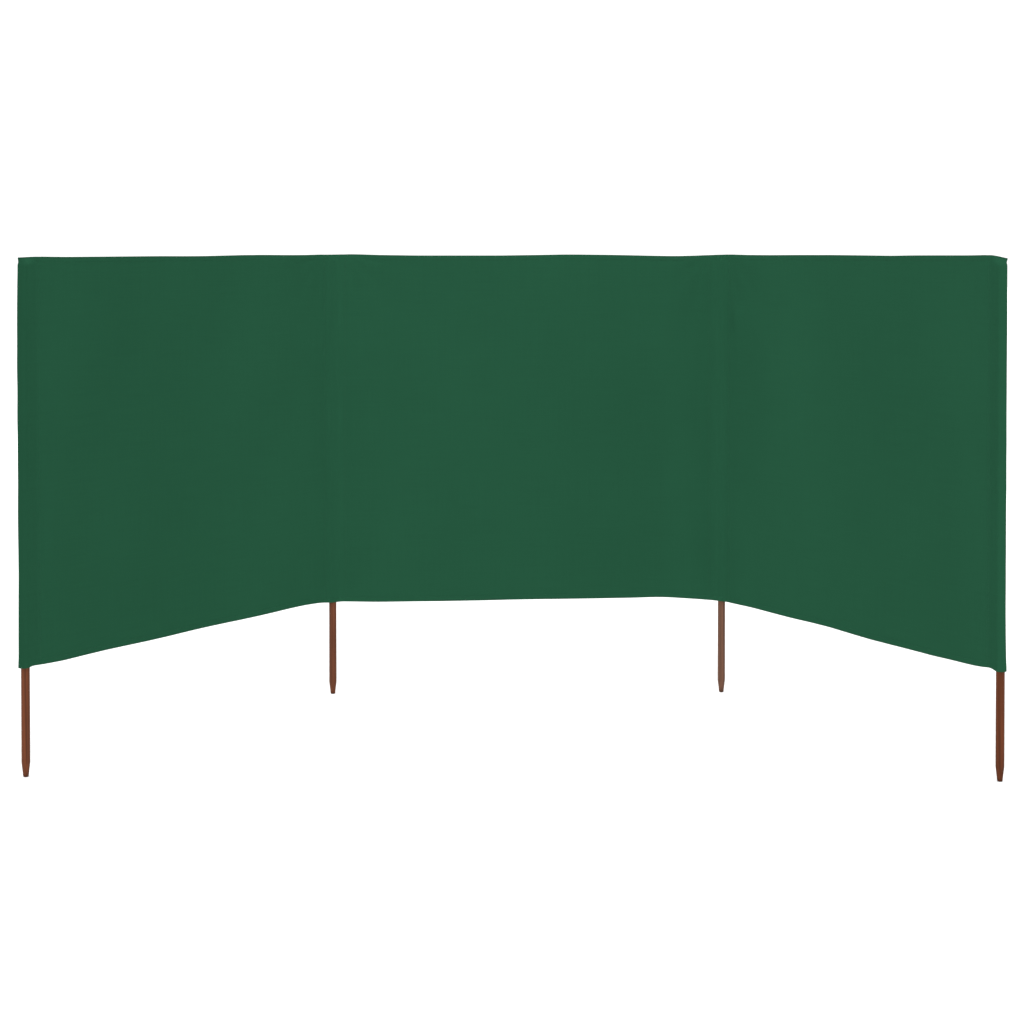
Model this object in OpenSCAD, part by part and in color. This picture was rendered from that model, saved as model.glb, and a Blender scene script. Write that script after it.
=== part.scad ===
// Beach windbreak: a long strip of cloth on four round wooden stakes,
// set up in three bays with the two outer bays turned towards the front.
// Millimetres. +Z is up, +X runs along the middle bay to the right, and the
// front is towards -Y. The origin is at the middle of the flat foot of the
// inner left stake.

/* [Bays] */
// Distance from stake to stake in one bay
bay_w = 1333; // [900:1:1600]
// How far the left bay is turned forward from the line of the middle bay, in degrees
left_turn = 52.4; // [0:0.1:80]
// How far the right bay is turned forward from the line of the middle bay, in degrees
right_turn = 60.4; // [0:0.1:80]

/* [Cloth] */
// Height of the cloth strip
cloth_h = 1188; // [800:1:1300]
// Thickness of the cloth panels
cloth_t = 1.2; // [0.8:0.1:2]
// Height of the turned-over hems along the top and bottom edges
hem_h = 19; // [12:1:20]
// Thickness of the turned-over strip on the back of the cloth
hem_t = 1.2; // [0.8:0.1:2]
// Distance from a stake's middle to where the hems begin
hem_start = 46; // [24:1:60]

/* [Stakes] */
// Length of a stake
pole_l = 1480; // [1400:1:1800]
// Diameter of a stake
pole_d = 25; // [20:0.5:30]
// Length of the tapered point
tip_l = 42; // [20:1:80]
// Diameter of the point just above its rounded foot
tip_d = 16; // [10:0.5:18]
// Radius of the rounded edge of the foot
tip_edge = 3.5; // [1:0.5:4]

/* [Pockets] */
// Play between a stake and its pocket, on the radius
pocket_play = 0.4; // [0.3:0.1:1]
// Thickness of the cloth round an inner stake
pocket_t = 1; // [0.6:0.1:1.6]
// Extra thickness of the hem where it shuts the top of a pocket
top_extra = 0.8; // [0.4:0.1:1.2]
// How far the cloth reaches above the top of a stake
cloth_over = 23; // [20:1:40]
// Radius of the outer edge of an end pocket
end_r = 15; // [14:0.5:20]
// How far the round of an end pocket stands outside its stake
end_off = 3.5; // [1:0.5:8]
// Distance from an end stake to the seam that closes its pocket
end_seam = 46; // [30:1:70]

/* [Hidden] */
$fn = 64;

wood = [0.44, 0.25, 0.165];
cloth = [0.145, 0.333, 0.239];
cloth_edge = [0.13, 0.30, 0.215];

pole_r = pole_d / 2;
bore_r = pole_r + pocket_play;
pocket_r = bore_r + pocket_t;
pocket_top_r = pocket_r + top_extra;
// the cloth closes above the top of the stakes
cloth_z1 = pole_l + cloth_over;
cloth_z0 = cloth_z1 - cloth_h;
band_z = cloth_z1 - hem_h;
// inner edges of the panels: fixed bay, and bays that turn round a stake
fixed_edge = pocket_top_r + 0.3;
turn_edge = pocket_top_r + 0.8;

// One stake: tapered point with a flat, round-edged foot, straight shaft, broken top edge
module stake() {
    foot_r = tip_d / 2 - tip_edge;
    color(wood)
    rotate_extrude()
    polygon(concat(
        [[0, 0]],
        [for (a = [0 : 18 : 90]) [foot_r + tip_edge * sin(a), tip_edge * (1 - cos(a))]],
        [
            [pole_r, tip_l],
            [pole_r, pole_l - 1.5],
            [pole_r - 1.5, pole_l],
            [0, pole_l]
        ]
    ));
}

// One flat panel of cloth between two distances along the bay
module panel(x0, x1) {
    color(cloth)
    translate([x0, -cloth_t / 2, cloth_z0])
    cube([x1 - x0, cloth_t, cloth_h]);
}

// A hem strip turned over to the back of the cloth
module hem(x0, x1, z) {
    color(cloth_edge)
    translate([x0, cloth_t / 2, z])
    cube([x1 - x0, hem_t, hem_h]);
}

// Pocket round an inner stake, open below
module inner_pocket() {
    color(cloth)
    translate([0, 0, cloth_z0])
    difference() {
        cylinder(r = pocket_r, h = band_z - cloth_z0);
        translate([0, 0, -1]) cylinder(r = bore_r, h = band_z - cloth_z0 + 2);
    }
}

// The hem carried round the top of an inner pocket and sewn shut over the stake
module inner_pocket_top() {
    color(cloth_edge)
    translate([0, 0, band_z])
    cylinder(r = pocket_top_r, h = hem_h);
}

// Outer form of an end pocket: a round outer edge that runs in straight lines
// to the seam. side is 1 for the right end, -1 for the left end.
module end_form(r, h, side) {
    reach = end_seam + end_off;
    half = cloth_t / 2;
    dist = sqrt(reach * reach + half * half);
    touch = 180 - atan(half / reach) - acos(r / dist);
    tx = end_off + 0.99 * r * cos(touch);
    ty = 0.99 * r * sin(touch);
    mirror([side < 0 ? 1 : 0, 0, 0])
    union() {
        translate([end_off, 0, 0]) cylinder(r = r, h = h);
        linear_extrude(h)
        polygon([[-end_seam, -half], [-end_seam, half], [tx, ty], [tx, -ty]]);
    }
}

// Pocket round an end stake, open below
module end_pocket(side) {
    color(cloth)
    translate([0, 0, cloth_z0])
    difference() {
        end_form(end_r, band_z - cloth_z0, side);
        translate([0, 0, -1]) cylinder(r = bore_r, h = band_z - cloth_z0 + 2);
    }
}

// The hem carried round the top of an end pocket and sewn shut over the stake
module end_pocket_top(side) {
    color(cloth_edge)
    translate([0, 0, band_z])
    end_form(end_r + top_extra, hem_h, side);
}

// Places of the bays and stakes
module at_left_bay() { rotate([0, 0, left_turn]) children(); }
module at_right_bay() { translate([bay_w, 0, 0]) rotate([0, 0, -right_turn]) children(); }
module at_left_end() { at_left_bay() translate([-bay_w, 0, 0]) children(); }
module at_right_end() { at_right_bay() translate([bay_w, 0, 0]) children(); }
module at_inner_right() { translate([bay_w, 0, 0]) children(); }

// Stakes
module left_end_pole() { at_left_end() stake(); }
module inner_left_pole() { stake(); }
module inner_right_pole() { at_inner_right() stake(); }
module right_end_pole() { at_right_end() stake(); }

// Cloth panels
module left_panel() { at_left_bay() panel(-(bay_w - end_seam), -turn_edge); }
module middle_panel() { panel(fixed_edge, bay_w - fixed_edge); }
module right_panel() { at_right_bay() panel(turn_edge, bay_w - end_seam); }

// Hems
module left_top_hem() { at_left_bay() hem(-(bay_w - end_seam - 1), -hem_start, band_z); }
module middle_top_hem() { hem(hem_start, bay_w - hem_start, band_z); }
module right_top_hem() { at_right_bay() hem(hem_start, bay_w - end_seam - 1, band_z); }
module left_bottom_hem() { at_left_bay() hem(-(bay_w - end_seam - 1), -hem_start, cloth_z0); }
module middle_bottom_hem() { hem(hem_start, bay_w - hem_start, cloth_z0); }
module right_bottom_hem() { at_right_bay() hem(hem_start, bay_w - end_seam - 1, cloth_z0); }

// Pockets
module left_end_pocket() { at_left_end() end_pocket(-1); }
module inner_left_pocket() { inner_pocket(); }
module inner_right_pocket() { at_inner_right() inner_pocket(); }
module right_end_pocket() { at_right_end() end_pocket(1); }

// Closed tops of the pockets
module left_end_pocket_top() { at_left_end() end_pocket_top(-1); }
module inner_left_pocket_top() { inner_pocket_top(); }
module inner_right_pocket_top() { at_inner_right() inner_pocket_top(); }
module right_end_pocket_top() { at_right_end() end_pocket_top(1); }

left_end_pole();
inner_left_pole();
inner_right_pole();
right_end_pole();
left_panel();
middle_panel();
right_panel();
left_top_hem();
middle_top_hem();
right_top_hem();
left_bottom_hem();
middle_bottom_hem();
right_bottom_hem();
left_end_pocket();
inner_left_pocket();
inner_right_pocket();
right_end_pocket();
left_end_pocket_top();
inner_left_pocket_top();
inner_right_pocket_top();
right_end_pocket_top();
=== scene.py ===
# Beach windbreak: three bays of dark green cloth on four stained wooden stakes.
# Metres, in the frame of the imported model: +X along the middle bay, front
# towards -Y, +Z up, origin at the foot of the inner left stake.
import math

import bpy
import numpy as np
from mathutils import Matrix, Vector


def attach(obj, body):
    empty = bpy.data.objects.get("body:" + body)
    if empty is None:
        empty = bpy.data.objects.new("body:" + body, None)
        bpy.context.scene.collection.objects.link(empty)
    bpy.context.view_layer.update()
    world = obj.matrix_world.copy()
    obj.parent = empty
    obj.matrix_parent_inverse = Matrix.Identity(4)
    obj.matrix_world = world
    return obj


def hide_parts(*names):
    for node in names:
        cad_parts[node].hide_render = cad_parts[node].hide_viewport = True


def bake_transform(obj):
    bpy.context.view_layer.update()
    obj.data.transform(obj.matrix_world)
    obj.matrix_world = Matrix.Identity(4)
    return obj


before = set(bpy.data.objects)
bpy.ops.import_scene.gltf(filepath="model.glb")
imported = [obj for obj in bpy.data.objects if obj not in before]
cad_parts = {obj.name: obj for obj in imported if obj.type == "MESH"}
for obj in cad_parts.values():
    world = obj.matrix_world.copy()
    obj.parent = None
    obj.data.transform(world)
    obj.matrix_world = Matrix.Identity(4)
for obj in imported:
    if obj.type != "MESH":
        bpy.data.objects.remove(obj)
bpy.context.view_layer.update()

# ------------------------------------------------------------------ sizes
BAY = 1.333                      # stake to stake
LEFT_TURN = math.radians(52.4)   # outer bays, turned forward
RIGHT_TURN = math.radians(60.4)
Z0, Z1 = 0.315, 1.503            # bottom and top edge of the cloth
HIGH = Z1 - Z0
STAKE_R = 0.0125
T = 0.0007                       # cloth
JOIN = 0.040                     # where a bay goes over into the front of a sleeve
TAB = 0.049                      # the back of a sleeve is sewn to the bay up to here
SEAM = 0.046                     # seam of an end pocket, from its stake
ROW_A, ROW_B = 0.0040, 0.0155    # the two rows of stitches in a hem

mm = 0.001


# ------------------------------------------------------------------ small tools
def smooth(x):
    x = np.clip(x, 0.0, 1.0)
    return x * x * (3.0 - 2.0 * x)


def gauss(a, sigma):
    """Rounds a finely sampled curve; its ends stay where they are."""
    r = int(4 * sigma) + 1
    k = np.exp(-0.5 * (np.arange(-r, r + 1) / sigma) ** 2)
    k /= k.sum()
    a = np.asarray(a, float)
    flat = a.ndim == 1
    a = a.reshape(len(a), -1)
    head = 2 * a[0] - a[r:0:-1]
    tail = 2 * a[-1] - a[-2:-r - 2:-1]
    b = np.vstack([head, a, tail])
    out = np.stack([np.convolve(b[:, c], k, mode="valid") for c in range(b.shape[1])], 1)
    return out[:, 0] if flat else out


def resample(p, step):
    p = np.asarray(p, float)
    seg = np.r_[0, np.cumsum(np.linalg.norm(np.diff(p, axis=0), axis=1))]
    n = max(2, int(round(seg[-1] / step)) + 1)
    t = np.linspace(0, seg[-1], n)
    return np.stack([np.interp(t, seg, p[:, c]) for c in range(p.shape[1])], 1)


def curve(points, sigma=0.012):
    """A smooth curve through a few (place, millimetres) pairs, as metres."""
    x = np.linspace(-0.2, 1.2, 2801)
    px = [p[0] for p in points]
    py = [p[1] for p in points]
    y = gauss(np.interp(x, px, py), sigma / (x[1] - x[0])) * mm
    return lambda u: np.interp(u, x, y)


def waves(x, seed, lo, hi, count=7):
    """Irregular waves along one line, about -1 to 1, wavelengths lo to hi."""
    rng = np.random.RandomState(seed)
    out = np.zeros_like(np.asarray(x, float))
    for _ in range(count):
        lam = lo * (hi / lo) ** rng.rand()
        out = out + np.sin(2 * np.pi * (x / lam + rng.rand())) * (0.6 + 0.4 * rng.rand())
    return out / (0.85 * math.sqrt(count))


def ripple(x, y, seed, lo, hi, count=9):
    """Irregular waves over a surface, about -1 to 1."""
    rng = np.random.RandomState(seed)
    out = np.zeros(np.broadcast(x, y).shape)
    for _ in range(count):
        lam = lo * (hi / lo) ** rng.rand()
        a = rng.rand() * np.pi
        out = out + np.sin(2 * np.pi * ((x * math.cos(a) + y * math.sin(a)) / lam + rng.rand()))
    return out / (0.8 * math.sqrt(count))


# ------------------------------------------------------------------ bays
class Corner:
    """Plan of the cloth where two bays meet in front of an inner stake: one smooth
    bend that keeps clear of the stake and runs out into both bays. e runs across
    the corner, b towards its front."""

    def __init__(self, turn, front):
        half = 0.5 * (math.pi - turn)
        self.sh, self.ch = math.sin(half), math.cos(half)
        self.front = front
        e = np.r_[np.linspace(0, 0.08, 801), np.linspace(0.081, 0.6, 400)]
        b = self.bend(e)
        self.e = e
        self.s = e * self.sh + b * self.ch
        self.n = (b * self.sh - e * self.ch) * (1 - smooth((self.s - 0.09) / 0.30))

    def bend(self, e, front=None):
        return np.sqrt((front or self.front) ** 2 + (e * self.ch / self.sh) ** 2)

    def lift(self, s):
        """How far the cloth stands in front of the flat bay."""
        return np.interp(s, self.s, self.n)

    def across(self, s):
        return np.interp(s, self.s, self.e)


LEFT_CORNER = Corner(LEFT_TURN, 0.0134)
RIGHT_CORNER = Corner(RIGHT_TURN, 0.0134)


class Bay:
    """One bay: s runs along it from its first stake, n is towards its front."""

    def __init__(self, name, origin, turn, sign, seed, near, far, top, bottom, pocket=None):
        self.name = name
        self.near, self.far = near, far
        self.o = np.array(origin, float)
        c, q = math.cos(turn), math.sin(turn)
        self.t = np.array([sign * c, -q]) if sign else np.array([1.0, 0.0])
        self.f = np.array([-sign * q, -c]) if sign else np.array([0.0, -1.0])
        self.seed = seed
        self.top = top
        self.bottom = bottom
        self.pocket = pocket
        self.middle = not sign

    def world(self, s, n, z):
        s, n, z = np.broadcast_arrays(s, n, z)
        return np.stack([self.o[0] + s * self.t[0] + n * self.f[0],
                         self.o[1] + s * self.t[1] + n * self.f[1], z], -1)

    def edges(self, s):
        u = s / BAY
        return Z0 + self.bottom(u), Z1 + self.top(u)

    def shape(self, s, z):
        """How far the cloth stands out of the flat bay."""
        u = s / BAY
        v = (z - Z0) / HIGH
        near = TAB + 0.001
        far = BAY - (near if self.middle else SEAM + 0.014)
        edge = smooth((s - near) / 0.16) * smooth((far - s) / 0.16)
        close = smooth((s - near) / 0.02) * smooth((far - s) / 0.02)
        belly = np.sin(np.pi * np.clip(u, 0, 1))
        if self.name == "middle":
            n = -0.007 * belly * (0.5 + 0.5 * np.sin(np.pi * np.clip(v, 0, 1)))
            n = n - 0.021 * np.exp(-((u - 0.79) / 0.15) ** 2) * (1 - smooth(v / 0.75))
            n = n + 0.006 * np.exp(-((u - 0.30) / 0.17) ** 2 - ((v - 0.30) / 0.28) ** 2)
        elif self.name == "left":
            n = -0.009 * belly * (0.35 + 0.65 * np.sin(np.pi * np.clip(0.15 + 0.8 * v, 0, 1)))
            n = n + 0.004 * np.exp(-((u - 0.25) / 0.16) ** 2 - ((v - 0.2) / 0.25) ** 2)
        else:
            n = -0.006 * belly * (0.4 + 0.6 * np.sin(np.pi * np.clip(0.1 + 0.8 * v, 0, 1)))
            n = n - 0.006 * np.exp(-((u - 0.70) / 0.18) ** 2 - ((v - 0.1) / 0.3) ** 2)
        n = n + 0.0022 * ripple(s, z * 0.6, self.seed, 0.28, 0.75)
        n = n * edge
        if self.name == "right":
            # a small fold beside the sleeve of the inner stake
            n = n + 0.0046 * smooth((s - 0.049) / 0.036) * (1 - smooth((s - 0.085) / 0.15)) \
                * np.exp(-((z - 1.282) / 0.042) ** 2)
        # pulls that spread from the corners
        for cs, cz, amp in ((near, Z1, 1.0), (far, Z1, 1.0), (near, Z0, 0.6), (far, Z0, 0.6)):
            dx, dz = np.abs(s - cs), np.abs(z - cz)
            r = np.sqrt(dx * dx + dz * dz) + 1e-6
            a = np.arctan2(dx, dz)
            k = self.seed * 0.7 + cs * 3 + cz
            n = n + amp * 0.0009 * np.sin(11.0 * a + k + 1.3 * np.sin(2.0 * a + k)) \
                * np.exp(-r / 0.22) * smooth(r / 0.10) * close
        # gathers along the pocket seams
        for d, k in ((s - near, 1), (far - s, 2)):
            d = np.maximum(d, 0)
            n = n + 0.0007 * waves(z, self.seed * 10 + k, 0.05, 0.13) * np.exp(-d / 0.035) * smooth(d / 0.012)
        return n + self.near.lift(s) + (self.far.lift(BAY - s) if self.far else 0.0)

    def relief(self, s, d, top):
        """Small relief of a hem: d is the distance from the edge."""
        k = self.seed * 10 + (5 if top else 6)
        puff = 0.00030 * smooth(d / 0.003) * (1 - smooth((d - 0.0135) / 0.004))
        rows = -0.00032 * np.exp(-((d - ROW_B) / 0.0014) ** 2) - 0.00028 * np.exp(-((d - ROW_A) / 0.0012) ** 2)
        pucker = 0.00042 * waves(s, k, 0.022, 0.055) * np.exp(-((d - ROW_B) / 0.013) ** 2)
        return puff + rows + pucker * self.hem_zone(s)

    def hem_zone(self, s):
        far = BAY - (TAB + 0.001 if self.middle else SEAM + 0.018)
        return smooth((s - TAB - 0.001) / 0.004) * smooth((far - s) / 0.004)

    def cloth(self, s, r):
        """(s, n, z) of the middle of the cloth."""
        lo, hi = self.edges(s)
        z = lo + r * (hi - lo)
        n = self.shape(s, z)
        h = self.hem_zone(s)
        dt, db = hi - z, z - lo
        n = n + self.relief(s, dt, True) + self.relief(s, db, False)
        # the sheet rolls over into the hem
        for d in (dt, db):
            n = n - h * 0.00055 * np.clip(1 - d / 0.0011, 0, 1) ** 2
        return s, n, z

    def hem(self, s, d, top):
        """(s, n, z) of the middle of the layer turned over to the back."""
        lo, hi = self.edges(s)
        z = hi - d if top else lo + d
        n = self.shape(s, z) + self.relief(s, d, top)
        back = -0.00055 - 0.00070 * smooth(d / 0.0010)
        back = back + 0.00040 * np.exp(-((d - ROW_B) / 0.0016) ** 2) + 0.00030 * np.exp(-((d - ROW_A) / 0.0012) ** 2)
        return s, n + back, z


def along(points):
    """A smooth curve through a few (height in metres, millimetres) pairs, as metres."""
    c = curve([((z - Z0) / HIGH, v) for z, v in points], 0.03)
    return lambda z: c((z - Z0) / HIGH)


# top and bottom edges as they hang, and how far the end pockets stand out from their stakes
LEFT = Bay("left", (0, 0), LEFT_TURN, -1, 3, LEFT_CORNER, None,
           curve([(0, 0.3), (0.04, 0.6), (0.1, -0.7), (0.17, -0.5), (0.25, 0.8), (0.32, 0.6), (0.39, -0.5),
                  (0.455, -1.5), (0.52, -1.3), (0.59, -0.5), (0.88, -0.5), (0.94, 0.8), (0.965, 1.5), (1.05, 1.6)]),
           curve([(0, 0), (0.015, 0.5), (0.05, 6.6), (0.1, 8.5), (0.17, 9.0), (0.25, 7.6), (0.33, 5.4), (0.4, 4.0),
                  (0.52, 3.3), (0.64, 1.6), (0.77, 1.0), (0.89, -1.7), (0.94, 0.0), (0.968, 1.4), (0.987, 5.6),
                  (1.0, 2.2), (1.05, 2.0)], 0.008),
           along([(0.31, 20.8), (0.38, 19.8), (0.51, 19.0), (0.63, 18.6), (0.80, 19.4), (0.90, 18.8), (1.09, 19.6),
                  (1.24, 19.8), (1.38, 18.6), (1.46, 16.8), (1.52, 16.4)]))
MIDDLE = Bay("middle", (0, 0), 0.0, 0, 11, LEFT_CORNER, RIGHT_CORNER,
             curve([(0, 0.5), (0.05, 1.4), (0.08, 0.4), (0.118, -1.4), (0.22, -3.2), (0.43, -3.2), (0.55, -1.0),
                    (0.59, 0.2), (0.63, 0.1), (0.72, -1.3), (0.84, -4.7), (0.885, -5.4), (0.94, -3.4), (0.975, -0.9),
                    (1.05, 0.2)]),
             curve([(0, 1.2), (0.02, 2.2), (0.066, 0.7), (0.12, -0.5), (0.27, 0), (0.374, 2.6), (0.45, 5.0),
                    (0.53, 6.1), (0.70, 6.5), (0.77, 6.8), (0.838, 9.6), (0.889, 8.4), (0.941, 5.6), (0.985, 1.0),
                    (1.05, 0)]))
RIGHT = Bay("right", (BAY, 0), RIGHT_TURN, 1, 7, RIGHT_CORNER, None,
            curve([(0, 0.2), (0.03, 0.7), (0.113, -0.7), (0.2, -0.5), (0.28, 0.6), (0.43, 1.8), (0.5, 1.7),
                   (0.65, 1.3), (0.71, 2.9), (0.785, 3.7), (0.9, 4.6), (0.945, 5.9), (0.97, 6.4), (1.05, 6.0)]),
            curve([(0, 0), (0.03, 1.0), (0.12, 1.3), (0.28, 1.2), (0.36, 2.6), (0.43, 2.4), (0.50, -1.0),
                   (0.575, -4.5), (0.65, -5.4), (0.78, -5.9), (0.85, -3.2), (0.92, -0.9), (0.95, 1.5), (0.97, 4.8),
                   (0.984, 4.4), (1.0, 2.6), (1.05, 2.6)], 0.008),
            along([(0.31, 17.4), (0.40, 15.4), (0.50, 13.6), (0.62, 13.3), (0.80, 13.5), (0.90, 13.8), (1.0, 13.4),
                   (1.1, 13.3), (1.4, 13.3), (1.52, 13.4)]))


# ------------------------------------------------------------------ meshes
class Sheet:
    """Collects grids of points that share edges, then gives them a thickness."""

    def __init__(self):
        self.v, self.uv, self.f, self.n = [], [], [], 0
        self.ends = None

    def grid(self, p, uv, first=None, flip=False):
        """p is (columns, rows, 3). first: indices of points that its first row shares."""
        ni, nj = p.shape[:2]
        idx = np.empty((ni, nj), int)
        j0 = 0
        if first is not None:
            idx[:, 0] = first
            j0 = 1
        new = p[:, j0:]
        idx[:, j0:] = self.n + np.arange(new.shape[0] * new.shape[1]).reshape(new.shape[:2])
        self.v.append(new.reshape(-1, 3))
        self.uv.append(uv[:, j0:].reshape(-1, 2))
        self.n += new.shape[0] * new.shape[1]
        a, b, c, d = idx[:-1, :-1], idx[1:, :-1], idx[1:, 1:], idx[:-1, 1:]
        q = np.stack([a, b, c, d] if not flip else [d, c, b, a], -1).reshape(-1, 4)
        self.f.append(q)
        return idx

    def build(self, name, thick, material):
        v = np.vstack(self.v)
        uv = np.vstack(self.uv)
        f = np.vstack(self.f)
        # normals of the points
        fn = np.cross(v[f[:, 2]] - v[f[:, 0]], v[f[:, 3]] - v[f[:, 1]])
        vn = np.zeros_like(v)
        for c in range(4):
            np.add.at(vn, f[:, c], fn)
        vn /= np.maximum(np.linalg.norm(vn, axis=1), 1e-12)[:, None]
        if self.ends is not None:
            vn[self.ends[0]] = self.ends[1]
        n = len(v)
        # edges with one face make the rim
        e = np.vstack([f[:, [i, (i + 1) % 4]] for i in range(4)])
        key = np.sort(e, 1)
        _, inv, cnt = np.unique(key[:, 0] * n + key[:, 1], return_inverse=True, return_counts=True)
        e = e[cnt[inv] == 1]
        rim = np.stack([e[:, 1], e[:, 0], e[:, 0] + n, e[:, 1] + n], 1)
        pts = np.vstack([v + vn * thick / 2, v - vn * thick / 2])
        faces = np.vstack([f, f[:, ::-1] + n, rim])
        uv2 = np.vstack([uv, uv])
        me = bpy.data.meshes.new(name)
        me.from_pydata(pts.tolist(), [], faces.tolist())
        layer = me.uv_layers.new(name="weave")
        layer.data.foreach_set("uv", uv2[faces.reshape(-1)].astype(np.float32).reshape(-1))
        me.update()
        me.materials.append(material)
        me.shade_smooth()
        me.set_sharp_from_angle(angle=math.radians(60))
        ob = bpy.data.objects.new(name, me)
        bpy.context.scene.collection.objects.link(ob)
        return ob


EDGE_ROWS = np.array([0, 0.35, 0.8, 1.5, 2.6, 4.0, 5.4, 8, 11, 13, 14.3, 15.5, 16.7, 18.5, 21, 25, 31, 39, 50]) * mm
MID_ROWS = np.linspace(0.050, HIGH - 0.050, 70)[1:-1]
ROWS = np.r_[EDGE_ROWS, MID_ROWS, HIGH - EDGE_ROWS[::-1]] / HIGH
HEM_ROWS = np.array([0, 0.35, 0.8, 1.5, 2.6, 4.0, 5.4, 8, 11, 13, 14.3, 15.5, 16.7, 18.0, 19.0]) * mm


TIGHT, HALF, LOOSE = (0.0, 0.0136), (0.0035, 0.0147), (0.0085, 0.0160)


def end_plan(off, r):
    """Plan of an end pocket, in (o, n): o is outwards from the stake, n to the front.
    The cloth runs out from the seam, round a circle about the stake, and back."""
    a = np.array([-SEAM, 0.0])
    b = np.array([-SEAM, -0.00085])

    def touch(p, side):
        d = p - np.array([off, 0])
        dist = math.hypot(*d)
        ang = math.atan2(d[1], d[0])
        return ang - side * math.acos(r / dist)

    t1 = touch(a, 1)
    t2 = touch(b, -1)
    if t1 < 0:
        t1 += 2 * math.pi
    if t2 > 0:
        t2 -= 2 * math.pi
    ang = np.linspace(t1, t2, 200)
    arc = np.stack([off + r * np.cos(ang), r * np.sin(ang)], 1)
    path = np.vstack([[[-0.080, 0.0]], [a], arc, [b], [[-SEAM - 0.012, -0.00085]]])
    p = gauss(resample(path, 0.0005), 5.0)
    return resample(p, np.linalg.norm(np.diff(p, axis=0), axis=1).sum() / 400)


def end_flat(p, tip_in, back):
    """The same cloth pressed flat above the stake: out along one line, back along it."""
    n = len(p)
    ln = np.r_[0, np.cumsum(np.linalg.norm(np.diff(p, axis=0), axis=1))]
    far = int(np.argmax(p[:, 0]))
    run = ln[far] - (0.080 - SEAM)
    reach = run - tip_in
    sc = reach / run
    out = np.empty((n, 2))
    for i in range(n):
        if i <= far:
            q = ln[i] - (0.080 - SEAM)
            side = 1.0
        else:
            q = run - (ln[i] - ln[far])
            side = -1.0
        base = 0.0 if side > 0 else -0.00085
        if q <= 0:
            out[i] = [-SEAM + q, base]
            continue
        gap = 0.00042 * side * np.clip((reach - q) / 0.001, 0, 1) ** 0.5
        k = smooth(q / 0.012)
        gap = base * (1 - k) + gap * k
        turn = -back * smooth(q / 0.03)
        out[i] = [-SEAM + q * sc * math.cos(turn), q * sc * math.sin(turn) + gap]
    return gauss(out, 1.2), ln


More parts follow.
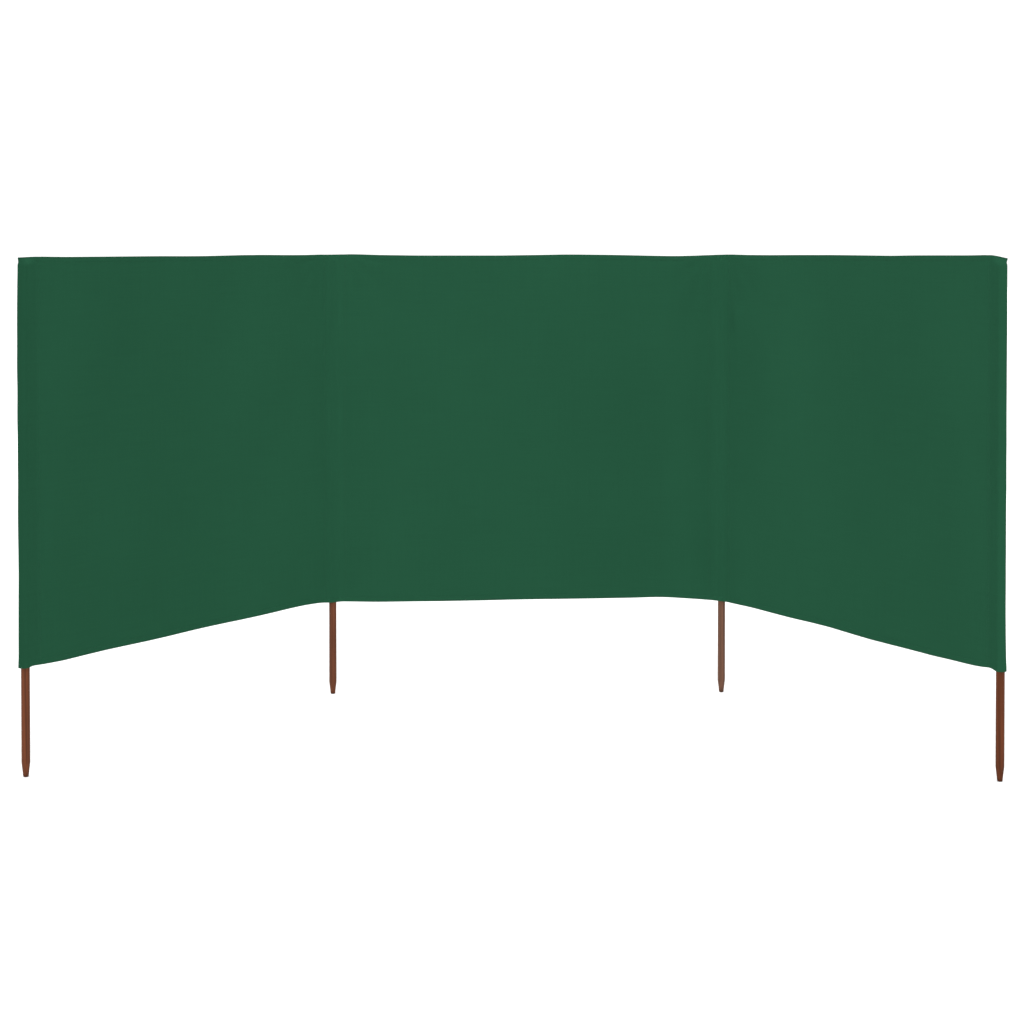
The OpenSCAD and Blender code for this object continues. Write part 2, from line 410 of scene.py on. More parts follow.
def wing(bay, tip_in, back, fall, material):
    """An outer bay: the sheet runs from the sleeve of the inner stake to the end
    stake, round it, and is sewn down behind; hems turned over to the back."""
    name = bay.name
    tight, loop, loose = (end_plan(*q) for q in (TIGHT, HALF, LOOSE))
    flat, ln = end_flat(loop, tip_in, back)
    pick = np.unique(np.round(np.linspace(0, len(ln) - 1, 84)).astype(int))
    tight, loop, loose, flat, ql = tight[pick], loop[pick], loose[pick], flat[pick], ln[pick]
    s_flat = np.linspace(JOIN, BAY - 0.080, 136)[:-1]
    sh = Sheet()
    r = ROWS
    # flat stretch
    ss, rr = np.meshgrid(s_flat, r, indexing="ij")
    s, n, z = bay.cloth(ss, rr)
    part_a = bay.world(s, n, z)
    uv_a = np.stack([ss, z], -1)
    # loop
    lo, hi = bay.edges(np.full(len(ql), BAY - SEAM))
    o_top = flat[:, 0]
    hi = Z1 + bay.top(np.minimum(BAY + o_top, BAY - SEAM) / BAY)
    hi = hi + fall * smooth((o_top + SEAM + 0.004) / 0.075)
    lo = Z0 + bay.bottom(np.clip((BAY + loop[:, 0]) / BAY, 0, 1.0))
    zz = lo[:, None] + r[None, :] * (hi - lo)[:, None]
    k = smooth(1 - (hi[:, None] - zz - 0.0015) / 0.0215)
    # the pocket hangs loose here and lies against the stake there
    w = (bay.pocket(zz) - tight[:, 0].max()) / (loose[:, 0].max() - tight[:, 0].max())
    w = np.clip(w + 0.03 * waves(zz, bay.seed * 10 + 8, 0.12, 0.4), 0, 1)
    out = smooth((loop[:, 0] + SEAM) / 0.05)[:, None]
    o = tight[:, 0][:, None] * (1 - w) + loose[:, 0][:, None] * w
    nn = tight[:, 1][:, None] * (1 - w) + loose[:, 1][:, None] * w
    nn = nn * (1 + 0.05 * np.clip(waves(zz, bay.seed * 10 + 4, 0.15, 0.5), 0, 1) * out)
    o = o * (1 - k) + flat[:, 0][:, None] * k
    nn = nn * (1 - k) + flat[:, 1][:, None] * k
    # the mouth stands a little open
    mouth = 1 - smooth((zz - lo[:, None]) / 0.035)
    nn = nn * (1 + 0.10 * mouth * out)
    s_b = BAY + o
    front = (np.arange(len(ql)) <= int(np.argmax(loop[:, 0])))[:, None]
    # carries the shape of the flat cloth into the pocket
    s_ref = np.minimum(s_b, BAY - SEAM - 0.002)
    carry = bay.shape(s_ref, zz) * (1 - smooth((s_b - (BAY - 0.078)) / 0.05))
    h = bay.hem_zone(s_b)
    dt, db = hi[:, None] - zz, zz - lo[:, None]
    plain = 1 - smooth((s_b - (BAY - SEAM - 0.02)) / 0.02)
    rel = plain * (bay.relief(s_b, dt, True) + bay.relief(s_b, db, False)) * front
    for d in (dt, db):
        rel = rel - front * h * 0.00055 * np.clip(1 - d / 0.0011, 0, 1) ** 2
    part_b = bay.world(s_b, nn + carry + rel, zz)
    uv_b = np.stack([np.broadcast_to((BAY - 0.080 + ql)[:, None], zz.shape), zz], -1)
    p = np.concatenate([part_a, part_b], 0)
    uv = np.concatenate([uv_a, uv_b], 0)
    flip = bay.name == "left"
    idx = sh.grid(p, uv, flip=flip)
    # hems
    cols = np.where((np.r_[s_flat, BAY + loop[:, 0]] > TAB + 0.0015)
                    & (np.arange(len(p)) < len(s_flat) + np.searchsorted(ql, 0.015)))[0]
    sc = np.r_[s_flat, (BAY - 0.080 + ql)][cols]
    for top in (True, False):
        a, d = np.meshgrid(sc, HEM_ROWS, indexing="ij")
        s, n, z = bay.hem(a, d, top)
        g = bay.world(s, n, z)
        row = idx[cols, -1 if top else 0]
        v = (Z1 + d) if top else (Z0 - d)
        sh.grid(g, np.stack([a, v], -1), first=row, flip=flip if top else not flip)
    ob = sh.build(name + "_cloth", T, material)
    return ob


def middle(bay, material):
    s_flat = np.linspace(JOIN, BAY - JOIN, 146)
    sh = Sheet()
    ss, rr = np.meshgrid(s_flat, ROWS, indexing="ij")
    s, n, z = bay.cloth(ss, rr)
    idx = sh.grid(bay.world(s, n, z), np.stack([ss, z], -1))
    cols = np.where((s_flat > TAB + 0.0015) & (s_flat < BAY - TAB - 0.0015))[0]
    for top in (True, False):
        a, d = np.meshgrid(s_flat[cols], HEM_ROWS, indexing="ij")
        s, n, z = bay.hem(a, d, top)
        row = idx[cols, -1 if top else 0]
        v = (Z1 + d) if top else (Z0 - d)
        sh.grid(bay.world(s, n, z), np.stack([a, v], -1), first=row, flip=not top)
    return sh.build("middle_cloth", T, material)


class Sleeve:
    """The pocket of an inner stake: a front and a back strip, sewn to both bays."""

    def __init__(self, name, axis, mid_dir, wing, ridge):
        self.name = name
        self.axis = np.array(axis, float)
        self.m = np.array(mid_dir, float)
        self.wing = wing
        b = self.m + wing.t
        self.b = b / np.linalg.norm(b)
        e = np.array([self.b[1], -self.b[0]])
        self.e = e if e @ self.m > 0 else -e
        self.corner = corner = wing.near
        self.sh, self.ch = corner.sh, corner.ch
        self.ridge = ridge
        n = 61
        reach = corner.across(JOIN)
        e = np.linspace(-reach, reach, 801)
        self.front = self.even(np.stack([e, corner.bend(e)], 1), n)
        d = np.array([self.sh, self.ch])
        nrm = np.array([-self.ch, self.sh])
        flip = np.array([-1.0, 1.0])
        at = np.linspace(TAB, 0.0360, 6)
        tab = at[:, None] * d + (corner.lift(at) - 0.00080)[:, None] * nrm
        r = STAKE_R + 0.0011
        s = tab[-1]
        dist = np.linalg.norm(s)
        t = math.atan2(s[1], s[0]) - math.acos(r / dist)
        ang = np.linspace(-math.pi - t, t, 120)
        arc = np.stack([r * np.cos(ang), r * np.sin(ang)], 1)
        back = np.vstack([tab * flip, arc, tab[::-1]])
        self.back = self.even(gauss(resample(back, 0.0004), 7.0), n)
        # where both layers lie together above the stake
        e = self.front[:, 0]
        w = smooth((np.abs(e) - 0.45 * reach) / (0.5 * reach))
        self.reach = reach
        self.mid = np.stack([e, corner.bend(e, 0.0108) * (1 - w) + self.front[:, 1] * w], 1)

    @staticmethod
    def even(p, n):
        seg = np.r_[0, np.cumsum(np.linalg.norm(np.diff(p, axis=0), axis=1))]
        t = np.linspace(0, seg[-1], n)
        return np.stack([np.interp(t, seg, p[:, c]) for c in range(2)], 1)

    def world(self, q, z):
        xy = self.axis + q[..., 0:1] * self.e + q[..., 1:2] * self.b
        return np.concatenate([xy, z[..., None]], -1)

    def edges(self, q):
        """Bottom and top of the cloth, from the bays on the two sides."""
        s = np.maximum(np.abs(q[..., 0]) * self.sh + q[..., 1] * self.ch, 0.0)
        wl, wh = self.wing.edges(s)
        ml, mh = MIDDLE.edges(s if self.m[0] > 0 else BAY - s)
        k = smooth(0.5 + q[..., 0] / (1.6 * JOIN * self.sh))
        return wl * (1 - k) + ml * k, wh * (1 - k) + mh * k

    def layer(self, which, r):
        """Points (columns, rows, 2), heights, and lengths along the strip."""
        front = which == "front"
        base = self.front if front else self.back
        sign = 1.0 if front else -1.0
        xi = base[:, 0]
        lo, hi = self.edges(base)
        z = lo[:, None] + r[None, :] * (hi - lo)[:, None]
        dt, db = hi[:, None] - z, z - lo[:, None]
        inner = 1 - smooth((np.abs(xi) - 0.45 * self.reach) / (0.5 * self.reach))
        tang = np.gradient(base, axis=0)
        tang /= np.linalg.norm(tang, axis=1)[:, None]
        nrm = np.stack([-tang[:, 1], tang[:, 0]], 1)
        nrm *= np.where(nrm[:, 1:2] * sign > 0, 1.0, -1.0) if front else 1.0
        if not front:
            out = np.sign((nrm * (base - np.array([0, 0.02]))).sum(1))
            nrm = nrm * np.where(np.median(out) >= 0, 1.0, -1.0)
        # both layers close above the stake
        k = smooth(1 - (dt - 0.0015) / 0.0205) * inner[:, None]
        mt = np.gradient(self.mid, axis=0)
        mt /= np.linalg.norm(mt, axis=1)[:, None]
        mn = np.stack([-mt[:, 1], mt[:, 0]], 1)
        mn *= np.where(mn[:, 1:2] > 0, 1.0, -1.0)
        if front:
            flat = self.mid
        else:
            # the back strip is longer and lies in against the front one
            my = np.interp(xi, self.mid[:, 0], self.mid[:, 1])
            flat = np.stack([xi, my], 1) - 0.0009 * np.stack(
                [np.interp(xi, self.mid[:, 0], mn[:, c]) for c in range(2)], 1)
        q = base[:, None, :] * (1 - k[..., None]) + flat[:, None, :] * k[..., None]
        if front:
            # the stake presses through, more below than above
            up, full, high = self.ridge
            g = 1 - smooth((z - full) / (up - full))
            bump = high * g * np.exp(-(xi / 0.0085) ** 2)[:, None] * (1 - k)
            soft = np.exp(-((np.abs(xi) - 0.016) / 0.007) ** 2)[:, None] * inner[:, None]
            bump = np.maximum(bump + 0.0005 * waves(z, 60 + int(self.m[0] > 0), 0.12, 0.4) * soft, -0.0002)
            bump = bump + self.wing.relief(np.zeros_like(z), dt, True) + self.wing.relief(np.zeros_like(z), db, False)
            q = q + nrm[:, None, :] * bump[..., None]
        # mouth
        mouth = (1 - smooth(db / 0.030)) * inner[:, None]
        q = q + nrm[:, None, :] * (0.0022 * mouth)[..., None]
        seg = np.r_[0, np.cumsum(np.linalg.norm(np.diff(base, axis=0), axis=1))]
        return q, z, seg - 0.5 * seg[-1]

    def build(self, which, material):
        q, z, seg = self.layer(which, ROWS)
        sh = Sheet()
        uv = np.stack([np.broadcast_to(seg[:, None], z.shape), z], -1)
        right = self.m[0] < 0
        flip = (which == "back") != right
        sh.grid(self.world(q, z), uv, flip=flip)
        return sh.build(f"{self.name}_sleeve_{which}", T, material)


INNER_LEFT = Sleeve("inner_left", (0, 0), (1, 0), LEFT, (1.30, 1.16, 0.0010))
INNER_RIGHT = Sleeve("inner_right", (BAY, 0), (-1, 0), RIGHT, (1.38, 1.30, 0.0012))


# ------------------------------------------------------------------ stitches
class Thread:
    """Short stitches, each one a small bead of thread lying on the cloth."""

    def __init__(self):
        self.c, self.d, self.n = [], [], []

    def row(self, points, normals, pitch=0.0042):
        """Stitches along a line of points, lying on the side of the normals."""
        p = np.asarray(points, float)
        seg = np.r_[0, np.cumsum(np.linalg.norm(np.diff(p, axis=0), axis=1))]
        m = int(seg[-1] / pitch)
        t = (np.arange(m) + 0.5) * pitch + 0.5 * (seg[-1] - m * pitch)
        q = np.stack([np.interp(t, seg, p[:, c]) for c in range(3)], 1)
        e = np.stack([np.interp(t + 0.001, seg, p[:, c]) - np.interp(t - 0.001, seg, p[:, c]) for c in range(3)], 1)
        e /= np.linalg.norm(e, axis=1)[:, None]
        nn = np.stack([np.interp(t, seg, normals[:, c]) for c in range(3)], 1)
        nn -= (nn * e).sum(1)[:, None] * e
        nn /= np.linalg.norm(nn, axis=1)[:, None]
        self.c.append(q)
        self.d.append(e)
        self.n.append(nn)

    def build(self, name, material, length=0.0033, radius=0.00030):
        c, d, n = np.vstack(self.c), np.vstack(self.d), np.vstack(self.n)
        b = np.cross(d, n)
        rings = ((-0.36, 0.86, 0.00), (0.0, 1.0, 0.10), (0.36, 0.86, 0.00))
        side = [(math.cos(a), math.sin(a)) for a in np.linspace(0, 2 * math.pi, 5)[:-1] + math.pi / 4]
        vs = [c - d * length * 0.5 - n * radius * 0.7]
        for along, size, lift in rings:
            for cx, sy in side:
                vs.append(c + d * length * along + (b * cx + n * (sy + lift)) * radius * size)
        vs.append(c + d * length * 0.5 - n * radius * 0.7)
        v = np.stack(vs, 1)
        k = v.shape[1]
        f = []
        for i in range(4):
            j = (i + 1) % 4
            f.append((0, 1 + j, 1 + i, 1 + i))
            for ring in (0, 1):
                a = 1 + ring * 4
                f.append((a + i, a + j, a + 4 + j, a + 4 + i))
            f.append((9 + i, 9 + j, k - 1, k - 1))
        base = (np.arange(len(c)) * k)[:, None, None]
        faces = (np.array(f)[None] + base).reshape(-1, 4)
        faces = [tuple(q[:3]) if q[2] == q[3] else tuple(q) for q in faces.tolist()]
        me = bpy.data.meshes.new(name)
        me.from_pydata(v.reshape(-1, 3).tolist(), [], faces)
        me.update()
        me.shade_smooth()
        me.materials.append(material)
        ob = bpy.data.objects.new(name, me)
        bpy.context.scene.collection.objects.link(ob)
        return ob


def bay_line(bay, s, r, layer="cloth", top=True, d=None):
    """Points and front normals along a line on a bay's cloth or turned-over hem."""
    e = 0.0005
    if layer == "cloth":
        f = lambda a, b: bay.world(*bay.cloth(a, b))
        p = f(s, r)
        du = f(s + e, r) - f(s - e, r)
        dv = f(s, r + e / HIGH) - f(s, r - e / HIGH)
    else:
        f = lambda a, b: bay.world(*bay.hem(a, b, top))
        p = f(s, d)
        du = f(s + e, d) - f(s - e, d)
        dv = (f(s, d + e) - f(s, d - e)) * (-1 if top else 1)
    n = np.cross(du, dv)
    n /= np.linalg.norm(n, axis=1)[:, None]
    n *= np.sign(n[:, :2] @ bay.f)[:, None]
    return p, n


def stitch_bay(bay, material):
    th = Thread()
    lay = T / 2 + 0.00010
    far = BAY - (JOIN + 0.002 if bay.middle else 0.071)
    s = np.arange(JOIN + 0.002, far, 0.003)
    t = np.arange(TAB + 0.004, BAY - (TAB + 0.004 if bay.middle else 0.071), 0.003)
    for top in (True, False):
        for d in (ROW_A, ROW_B):
            lo, hi = bay.edges(s)
            r = 1 - d / (hi - lo) if top else d / (hi - lo)
            p, n = bay_line(bay, s, r)
            th.row(p + n * lay, n)
            p, n = bay_line(bay, t, None, "hem", top, np.full(len(t), d))
            th.row(p - n * lay, -n)
    return th


def stitch_end(bay, th):
    """The double seam that closes an end pocket, front and back."""
    for o in (-SEAM - 0.0035, -SEAM - 0.0095):
        r = np.linspace(0.004, 0.9945, 420)
        s = np.full(len(r), BAY + o)
        p, n = bay_line(bay, s, r)
        th.row(p + n * (T / 2 + 0.0001), n)
        th.row(p - n * (0.00085 + T / 2 + 0.0001), -n)


def stitch_sleeve(sl, th_mid, th_wing):
    """The seams that hold the back of a sleeve to the bays, front and back."""
    r = np.linspace(0.004, 0.996, 420)
    for at in (0.0425, 0.0465):
        for th, bay, s in ((th_wing, sl.wing, at), (th_mid, MIDDLE, at if sl.m[0] > 0 else BAY - at)):
            p, n = bay_line(bay, np.full(len(r), s), r)
            th.row(p + n * (T / 2 + 0.0001), n)
            th.row(p - n * (0.00080 + T / 2 + 0.0001), -n)


def stitch_across(sl, material):
    """The hem rows where they cross the front of a sleeve."""
    th = Thread()
    q, z, seg = sl.layer("front", ROWS)
    w = sl.world(q, z)
    du = np.gradient(w, axis=0)
    dv = np.gradient(w, axis=1)
    n = np.cross(du, dv)
    n /= np.linalg.norm(n, axis=2)[..., None]
    n *= np.sign((n[..., :2] @ sl.b))[..., None]
    for d in (ROW_A, ROW_B):
        for top in (True, False):
            j = int(np.argmin(np.abs(ROWS * HIGH - (HIGH - d if top else d))))
            th.row((w[:, j] + n[:, j] * (T / 2 + 0.0001))[1:-1], n[1:-1, j])
    return th.build(sl.name + "_sleeve_stitching", material)


# ------------------------------------------------------------------ materials
def nodes_of(name):
    m = bpy.data.materials.new(name)
    m.use_nodes = True
    nt = m.node_tree
    nt.nodes.clear()
    out = nt.nodes.new("ShaderNodeOutputMaterial")
    sh = nt.nodes.new("ShaderNodeBsdfPrincipled")
    nt.links.new(sh.outputs[0], out.inputs[0])
    return m, nt, sh


def put(nt, kind, **kw):
    nd = nt.nodes.new(kind)
    for k, v in kw.items():
        setattr(nd, k, v)
    return nd


def mapped(nt, source, scale, loc=(0, 0, 0), rot=(0, 0, 0)):
    mp = put(nt, "ShaderNodeMapping")
    mp.inputs["Scale"].default_value = scale
    mp.inputs["Location"].default_value = loc
    mp.inputs["Rotation"].default_value = rot
    nt.links.new(source, mp.inputs["Vector"])
    return mp.outputs[0]


def noise(nt, vec, scale, detail=2.0, rough=0.5, distort=0.0):
    nd = put(nt, "ShaderNodeTexNoise")
    nd.inputs["Scale"].default_value = scale
    nd.inputs["Detail"].default_value = detail
    nd.inputs["Roughness"].default_value = rough
    nd.inputs["Distortion"].default_value = distort
    nt.links.new(vec, nd.inputs["Vector"])
    return nd.outputs["Fac"]


def span(nt, fac, a, b, lo, hi):
    nd = put(nt, "ShaderNodeMapRange")
    nd.inputs["From Min"].default_value = a
    nd.inputs["From Max"].default_value = b
    nd.inputs["To Min"].default_value = lo
    nd.inputs["To Max"].default_value = hi
    nt.links.new(fac, nd.inputs["Value"])
    return nd.outputs[0]


def math_(nt, op, a, b):
    nd = put(nt, "ShaderNodeMath", operation=op)
    for i, x in enumerate((a, b)):
        if isinstance(x, (int, float)):
            nd.inputs[i].default_value = x
        else:
            nt.links.new(x, nd.inputs[i])
    return nd.outputs[0]


def scaled(nt, colour, fac):
    """Colour times a factor."""
    nd = put(nt, "ShaderNodeVectorMath", operation="SCALE")
    if isinstance(colour, tuple):
        nd.inputs[0].default_value = colour
    else:
        nt.links.new(colour, nd.inputs[0])
    nt.links.new(fac, nd.inputs["Scale"])
    return nd.outputs[0]


def mix_col(nt, fac, a, b):
    nd = put(nt, "ShaderNodeMix", data_type="RGBA")
    nt.links.new(fac, nd.inputs["Factor"])
    ia = [i for i in nd.inputs if i.name == "A" and i.type == "RGBA"][0]
    ib = [i for i in nd.inputs if i.name == "B" and i.type == "RGBA"][0]
    for sock, x in ((ia, a), (ib, b)):
        if isinstance(x, tuple):
            sock.default_value = (*x, 1.0)
        else:
            nt.links.new(x, sock)
    return [o for o in nd.outputs if o.type == "RGBA"][0]


def cloth_material(name, colour, gain=1.0, pocket=None):
    """Close plain weave, matte, with the faint streaks of its threads; with pocket, painted shade darkens the cloth
    over a stake.
    """
    m, nt, sh = nodes_of(name)
    uv = put(nt, "ShaderNodeUVMap", uv_map="weave").outputs[0]
    # plain weave: two crossing sets of ribs, half a millimetre apart
    pitch = 0.0006
    sc = 2 * math.pi / (20 * pitch)
    w1 = put(nt, "ShaderNodeTexWave", wave_type="BANDS", bands_direction="X", wave_profile="SIN")
    w2 = put(nt, "ShaderNodeTexWave", wave_type="BANDS", bands_direction="Y", wave_profile="SIN")
    for w in (w1, w2):
        w.inputs["Scale"].default_value = sc
        w.inputs["Distortion"].default_value = 0.6
        w.inputs["Detail"].default_value = 1.0
        nt.links.new(uv, w.inputs["Vector"])
    weave = math_(nt, "MULTIPLY", w1.outputs["Fac"], w2.outputs["Fac"])
    # threads that are a little thicker or darker, along and across
    across = noise(nt, mapped(nt, uv, (5.0, 330.0, 1.0)), 1.0, 3.0, 0.6)
    along = noise(nt, mapped(nt, uv, (330.0, 4.0, 1.0), (3.1, 7.7, 0)), 1.0, 3.0, 0.6)
    cloud = noise(nt, mapped(nt, uv, (2.6, 1.9, 1.0), (1.7, 0.4, 0)), 1.0, 3.0, 0.55)
    f = span(nt, across, 0.25, 0.75, 0.965, 1.035)
    f = math_(nt, "MULTIPLY", f, span(nt, along, 0.25, 0.75, 0.975, 1.025))
    f = math_(nt, "MULTIPLY", f, span(nt, cloud, 0.25, 0.75, 0.975, 1.025))
    f = math_(nt, "MULTIPLY", f, span(nt, weave, 0.0, 1.0, 0.94 * gain, 1.04 * gain))
    if pocket:
        # painted shade: darker where a stake stands close behind the cloth, standing in for the light that the stake
        # keeps from shining through
        dark, a, b, c, d, rest = pocket
        sep = put(nt, "ShaderNodeSeparateXYZ")
        nt.links.new(uv, sep.inputs[0])
        over = math_(nt, "MULTIPLY", span(nt, sep.outputs[0], a, b, 0.0, 1.0),
                     span(nt, sep.outputs[0], c, d, 1.0, rest))
        f = math_(nt, "MULTIPLY", f, span(nt, over, 0.0, 1.0, 1.0, 1.0 - dark))
    nt.links.new(scaled(nt, colour, f), sh.inputs["Base Color"])
    nt.links.new(span(nt, across, 0.2, 0.8, 0.80, 0.92), sh.inputs["Roughness"])
    b1 = put(nt, "ShaderNodeBump")
    b1.inputs["Strength"].default_value = 0.25
    b1.inputs["Distance"].default_value = 0.00012
    nt.links.new(weave, b1.inputs["Height"])
    slub = math_(nt, "ADD", across, along)
    b2 = put(nt, "ShaderNodeBump")
    b2.inputs["Strength"].default_value = 0.10
    b2.inputs["Distance"].default_value = 0.0006
    nt.links.new(slub, b2.inputs["Height"])
    nt.links.new(b1.outputs[0], b2.inputs["Normal"])
    nt.links.new(b2.outputs[0], sh.inputs["Normal"])
    sh.inputs["Specular IOR Level"].default_value = 0.0
    sh.inputs["Sheen Weight"].default_value = 0.010
    sh.inputs["Sheen Roughness"].default_value = 0.45
    sh.inputs["Sheen Tint"].default_value = (0.55, 0.85, 0.70, 1.0)
    return m


def thread_material(name, colour):
    """Sewing thread: twisted, slightly glossier than the cloth."""
    m, nt, sh = nodes_of(name)
    ob = put(nt, "ShaderNodeTexCoord").outputs["Object"]
    tw = noise(nt, ob, 2600.0, 2.0)
    pale = noise(nt, ob, 14.0, 2.0)
    f = math_(nt, "MULTIPLY", span(nt, tw, 0.3, 0.7, 0.82, 1.12), span(nt, pale, 0.3, 0.7, 0.93, 1.07))
    nt.links.new(scaled(nt, colour, f), sh.inputs["Base Color"])
    nt.links.new(span(nt, tw, 0.3, 0.7, 0.5, 0.7), sh.inputs["Roughness"])
    b = put(nt, "ShaderNodeBump")
    b.inputs["Strength"].default_value = 0.3
    b.inputs["Distance"].default_value = 0.0001
    nt.links.new(tw, b.inputs["Height"])
    nt.links.new(b.outputs[0], sh.inputs["Normal"])
    sh.inputs["Specular IOR Level"].default_value = 0.2
    return m


def wood_material(name, axis, tone, dark, seed):
    """Stained softwood dowel: grain lines along the stake, streaks, darker point."""
    m, nt, sh = nodes_of(name)
    ob = put(nt, "ShaderNodeTexCoord").outputs["Object"]
    loc = mapped(nt, ob, (1, 1, 1), (-axis[0], -axis[1], 0.37 * seed), (0, 0, 0))
    turn = mapped(nt, loc, (1, 1, 1), (0, 0, 0), (0.006, 0.010, 0.9 * seed))
    # growth rings cut lengthways: bands that wander along the stake
    bend = noise(nt, mapped(nt, turn, (40, 40, 2.2)), 1.0, 3.0, 0.5)
    sep = put(nt, "ShaderNodeSeparateXYZ")
    nt.links.new(turn, sep.inputs[0])
    pos = math_(nt, "ADD", math_(nt, "MULTIPLY", sep.outputs[0], 1150.0), math_(nt, "MULTIPLY", bend, 7.0))
    ring = math_(nt, "SINE", pos, 0.0)
    fibre = noise(nt, mapped(nt, turn, (900, 900, 16)), 1.0, 4.0, 0.65)
    streak = noise(nt, mapped(nt, turn, (215, 215, 1.6)), 1.0, 3.0, 0.55)
    patch = noise(nt, mapped(nt, turn, (18, 18, 5)), 1.0, 3.0, 0.5)
    fac = math_(nt, "ADD", span(nt, ring, -1, 1, 0.0, 0.24), span(nt, streak, 0.39, 0.61, 0.0, 0.52))
    fac = math_(nt, "ADD", fac, span(nt, fibre, 0.3, 0.7, 0.0, 0.24))
    col = mix_col(nt, fac, dark, tone)
    f = span(nt, patch, 0.25, 0.75, 0.90, 1.08)
    # the point is darker towards the foot, and darkest round the edge of its tip
    z = put(nt, "ShaderNodeSeparateXYZ")
    nt.links.new(ob, z.inputs[0])
    low = math_(nt, "ADD", z.outputs[2], math_(nt, "MULTIPLY", patch, 0.05))
    f = math_(nt, "MULTIPLY", f, span(nt, low, 0.03, 0.10, 0.88, 1.0))
    rim = math_(nt, "ADD", z.outputs[2], math_(nt, "MULTIPLY", streak, 0.016))
    f = math_(nt, "MULTIPLY", f, span(nt, rim, 0.010, 0.022, 0.60, 1.0))
    nt.links.new(scaled(nt, col, f), sh.inputs["Base Color"])
    nt.links.new(span(nt, fibre, 0.3, 0.7, 0.50, 0.68), sh.inputs["Roughness"])
    b = put(nt, "ShaderNodeBump")
    b.inputs["Strength"].default_value = 0.25
    b.inputs["Distance"].default_value = 0.0005
    nt.links.new(math_(nt, "ADD", fibre, math_(nt, "MULTIPLY", ring, 0.18)), b.inputs["Height"])
    nt.links.new(b.outputs[0], sh.inputs["Normal"])
    sh.inputs["Specular IOR Level"].default_value = 0.08
    return m


GREEN = (0.0154, 0.0747, 0.0387)
cloth_mat = cloth_material("cloth_green", GREEN)
# painted shade over the stakes: 20% darker over the left end stake, 5.5% over the right end stake, 4.5% over each
# inner stake
END_PAINTED_SHADE = (BAY - 0.004, BAY + 0.018, BAY + 0.030, BAY + 0.055, 0.35)
cloth_left = cloth_material("cloth_green_left_painted_shade", GREEN, pocket=(0.20, *END_PAINTED_SHADE))
cloth_right = cloth_material("cloth_green_right_painted_shade", GREEN, pocket=(0.055, *END_PAINTED_SHADE))
cloth_inner = cloth_material("cloth_green_inner_painted_shade", GREEN, pocket=(0.045, -0.022, -0.006, 0.006, 0.022, 0.0))
thread_mat = thread_material("thread_green", (0.01262, 0.07670, 0.03786))

# ------------------------------------------------------------------ pieces
left_cloth = wing(LEFT, 0.0142, math.radians(8.0), -0.0022, cloth_left)
right_cloth = wing(RIGHT, 0.0165, math.radians(9.0), -0.0095, cloth_right)
middle_cloth = middle(MIDDLE, cloth_mat)
il_front = INNER_LEFT.build("front", cloth_inner)
il_back = INNER_LEFT.build("back", cloth_mat)
ir_front = INNER_RIGHT.build("front", cloth_inner)
ir_back = INNER_RIGHT.build("back", cloth_mat)

th_left, th_mid, th_right = (stitch_bay(b, thread_mat) for b in (LEFT, MIDDLE, RIGHT))
stitch_end(LEFT, th_left)
stitch_end(RIGHT, th_right)
stitch_sleeve(INNER_LEFT, th_mid, th_left)
stitch_sleeve(INNER_RIGHT, th_mid, th_right)
left_stitching = th_left.build("left_stitching", thread_mat)
middle_stitching = th_mid.build("middle_stitching", thread_mat)
right_stitching = th_right.build("right_stitching", thread_mat)
il_stitching = stitch_across(INNER_LEFT, thread_mat)
ir_stitching = stitch_across(INNER_RIGHT, thread_mat)

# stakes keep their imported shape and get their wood
left_end = (-BAY * math.cos(LEFT_TURN), -BAY * math.sin(LEFT_TURN))
right_end = (BAY + BAY * math.cos(RIGHT_TURN), -BAY * math.sin(RIGHT_TURN))
for node, axis, tone, dark, seed in (
        ("left_end_pole", left_end, (0.16311, 0.04806, 0.01990), (0.06990, 0.02379, 0.01214), 1.0),
        ("inner_left_pole", (0, 0), (0.1775, 0.0555, 0.0255), (0.0755, 0.0278, 0.0143), 2.3),
        ("inner_right_pole", (BAY, 0), (0.16311, 0.07573, 0.04660), (0.07767, 0.04029, 0.02670), 3.7),
        ("right_end_pole", right_end, (0.14272, 0.03835, 0.01359), (0.05922, 0.01845, 0.00825), 4.9)):
    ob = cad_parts[node]
    mat = wood_material("wood_" + node, axis, tone, dark, seed)
    ob.data.materials.clear()
    ob.data.materials.append(mat)

# ------------------------------------------------------------------ what moves with what
for ob, body in ((left_cloth, "left_bay"), (left_stitching, "left_bay"),
                 (middle_cloth, "middle_bay"), (middle_stitching, "middle_bay"),
                 (right_cloth, "right_bay"), (right_stitching, "right_bay")):
    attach(ob, body)
for sl, side, obs in ((INNER_LEFT, "left_bay", (il_front, il_back, il_stitching)),
                      (INNER_RIGHT, "right_bay", (ir_front, ir_back, ir_stitching))):
    for ob in obs:
        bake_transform(ob)

for side, ob in (("left", left_cloth), ("right", right_cloth)):
    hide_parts(f"{side}_panel", f"{side}_top_hem", f"{side}_bottom_hem",
                f"{side}_end_pocket", f"{side}_end_pocket_top")
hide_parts("middle_panel", "middle_top_hem", "middle_bottom_hem")
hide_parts("inner_left_pocket", "inner_left_pocket_top")
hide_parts("inner_right_pocket", "inner_right_pocket_top")

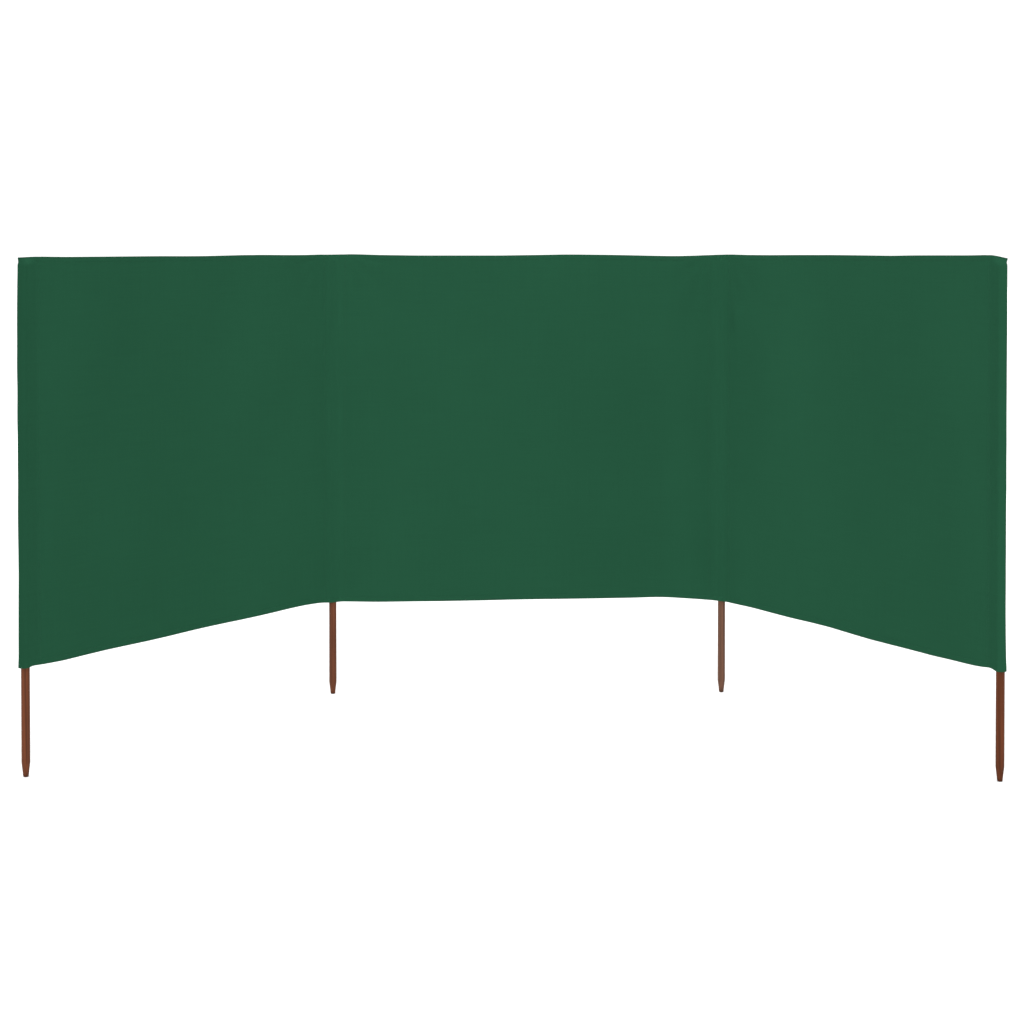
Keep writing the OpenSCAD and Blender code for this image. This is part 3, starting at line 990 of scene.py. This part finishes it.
# ------------------------------------------------------------------ floor, light, camera
fm, nt, sh = nodes_of("floor_pale")
ob = put(nt, "ShaderNodeTexCoord").outputs["Object"]
nt.links.new(scaled(nt, (0.955, 0.955, 0.952), span(nt, noise(nt, ob, 0.7, 2.0), 0.3, 0.7, 0.995, 1.005)), sh.inputs["Base Color"])
sh.inputs["Roughness"].default_value = 0.9
sh.inputs["Specular IOR Level"].default_value = 0.0
me = bpy.data.meshes.new("floor")
g = 60.0
me.from_pydata([(-g, -g, -0.0004), (g, -g, -0.0004), (g, g, -0.0004), (-g, g, -0.0004)], [], [(0, 1, 2, 3)])
me.materials.append(fm)
floor = bpy.data.objects.new("floor", me)
bpy.context.scene.collection.objects.link(floor)

world = bpy.data.worlds.new("studio")
bpy.context.scene.world = world
world.use_nodes = True
bg = world.node_tree.nodes["Background"]
bg.inputs["Color"].default_value = (1, 1, 1, 1)
bg.inputs["Strength"].default_value = 1.184


def area(name, place, aim, size, watts, spread=180.0):
    li = bpy.data.lights.new(name, "AREA")
    li.shape = "RECTANGLE"
    li.size, li.size_y = size
    li.energy = watts
    li.spread = math.radians(spread)
    o = bpy.data.objects.new(name, li)
    bpy.context.scene.collection.objects.link(o)
    o.location = place
    o.rotation_euler = (Vector(aim) - Vector(place)).to_track_quat("-Z", "Y").to_euler()
    o.visible_camera = False
    return o


sun = bpy.data.lights.new("high_soft", "SUN")
sun.energy = 1.184
sun.angle = math.radians(50)
so = bpy.data.objects.new("high_soft", sun)
so.rotation_euler = Vector((0.07, 0.34, -0.94)).to_track_quat("-Z", "Y").to_euler()
bpy.context.scene.collection.objects.link(so)
area("side_left", (-2.6, -3.2, 1.3), (1.42, -0.14, 0.90), (0.6, 1.6), 1.05, 16)
area("end_left", (-2.6, -3.2, 1.3), (1.90, -0.99, 0.84), (0.6, 1.6), 0.17, 11)
area("side_right", (3.6, -3.4, 1.3), (-0.06, -0.08, 0.90), (0.6, 1.6), 0.865, 16)

cam = bpy.data.cameras.new("camera")
cam.sensor_width = 36.0
cam.lens = 2016.1 / 1024 * 36.0
cam.shift_y = -0.222
cam.clip_end = 200.0
co = bpy.data.objects.new("camera", cam)
co.location = (0.4835, -6.8837, 1.5505)
co.rotation_euler = (math.radians(88.75), 0, math.radians(-1.081))
bpy.context.scene.collection.objects.link(co)
bpy.context.scene.camera = co
bpy.context.scene.view_settings.view_transform = "Standard"
bpy.context.scene.view_settings.look = "None"

bpy.context.view_layer.update()
